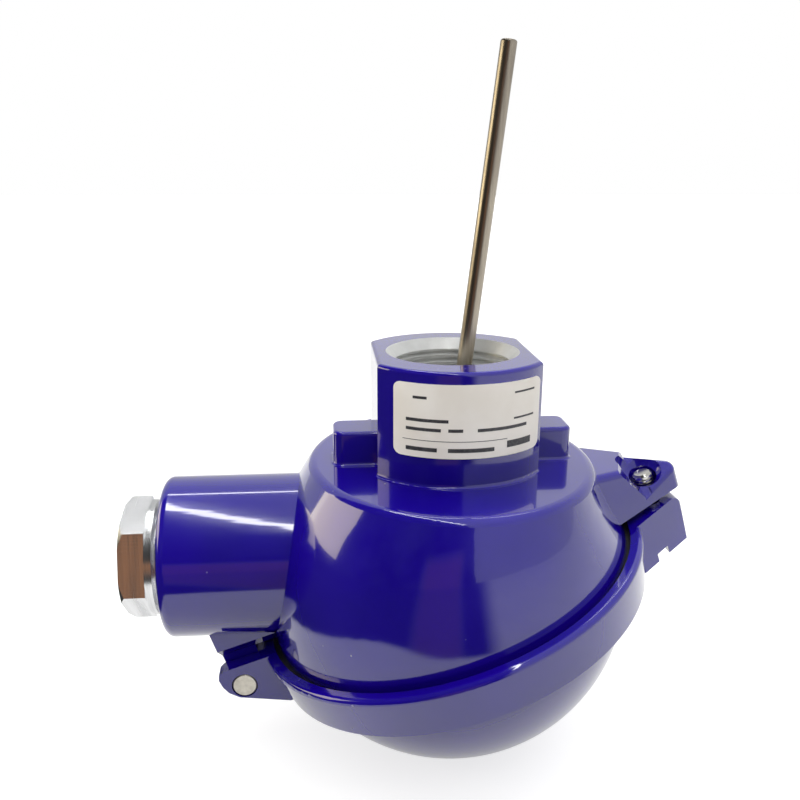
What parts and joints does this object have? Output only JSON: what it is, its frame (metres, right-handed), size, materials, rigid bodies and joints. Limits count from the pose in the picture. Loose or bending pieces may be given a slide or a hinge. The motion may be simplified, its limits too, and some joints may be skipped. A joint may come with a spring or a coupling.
{
  "type": "resistance thermometer with connection head",
  "caption": "Resistance thermometer with a slim sheath, a die-cast connection head with threaded neck, side cable gland and hinged domed cover.",
  "frame": {"origin": "on the axis of the threaded neck, at its end face", "axes": "+Z out of the neck towards the probe tip, +X from the cable boss to the cover clasp, +Y away from the side that carries the label"},
  "size_m": [0.116, 0.082, 0.1405],
  "materials": {
    "head_paint": "glossy",
    "pin_steel": "satin",
    "gland_aluminium": "turned",
    "screw_steel": "satin",
    "seal_rubber": "matte",
    "retainer_plastic": "matte",
    "label_foil": "satin print film",
    "sheath_steel": "satin",
    "flange_steel": "satin",
    "core_powder": "matte",
    "block_ceramic": "glazed",
    "terminal_brass": "satin",
    "lead_metal": "bright"
  },
  "bodies": {
    "head": {"head_body": "head_paint", "hinge_pin": "pin_steel", "gland_washer": "flange_steel", "gland_seal": "seal_rubber", "type_label": "label_foil", "insert_screw_left": "screw_steel", "insert_screw_right": "screw_steel"},
    "cover": {"cover": "head_paint", "cover_seal": "seal_rubber", "screw_retainer": "retainer_plastic"},
    "cover_screw": {"cover_screw": "screw_steel"},
    "gland": {"pressure_screw": "gland_aluminium"},
    "insert": {"insert_flange": "flange_steel", "sheath_bush": "flange_steel", "probe_sheath": "sheath_steel", "insulation_core": "core_powder", "sensor_element": "block_ceramic", "terminal_block": "block_ceramic", "terminal_left": "terminal_brass", "terminal_right": "terminal_brass", "lead_wire_left": "lead_metal", "lead_wire_right": "lead_metal", "insert_spring_left": "lead_metal", "insert_spring_right": "lead_metal", "terminal_screw_left_front": "screw_steel", "terminal_screw_left_back": "screw_steel", "terminal_screw_right_front": "screw_steel", "terminal_screw_right_back": "screw_steel"}
  },
  "joints": [
    {"name": "cover_hinge", "type": "hinge", "parent": "head", "child": "cover", "pos_m": [-0.04257, 0, -0.06635], "axis": [0, 1, 0], "range_deg": [0, 100]},
    {"name": "cover_screw_slide", "type": "slide", "parent": "cover", "child": "cover_screw", "axis": [0.3196, 0, -0.9475], "range_m": [0, 0.006]},
    {"name": "pressure_screw_turn", "type": "hinge", "parent": "head", "child": "gland", "pos_m": [-0.0577, 0, -0.0416], "axis": [-1, 0, 0], "continuous": true},
    {"name": "insert_spring_slide", "type": "slide", "parent": "head", "child": "insert", "axis": [0, 0, -1], "range_m": [0, 0.006], "stiffness_N_per_m": 3000, "springref_m": -0.003, "deforming": ["insert_spring_left", "insert_spring_right"]}
  ]
}
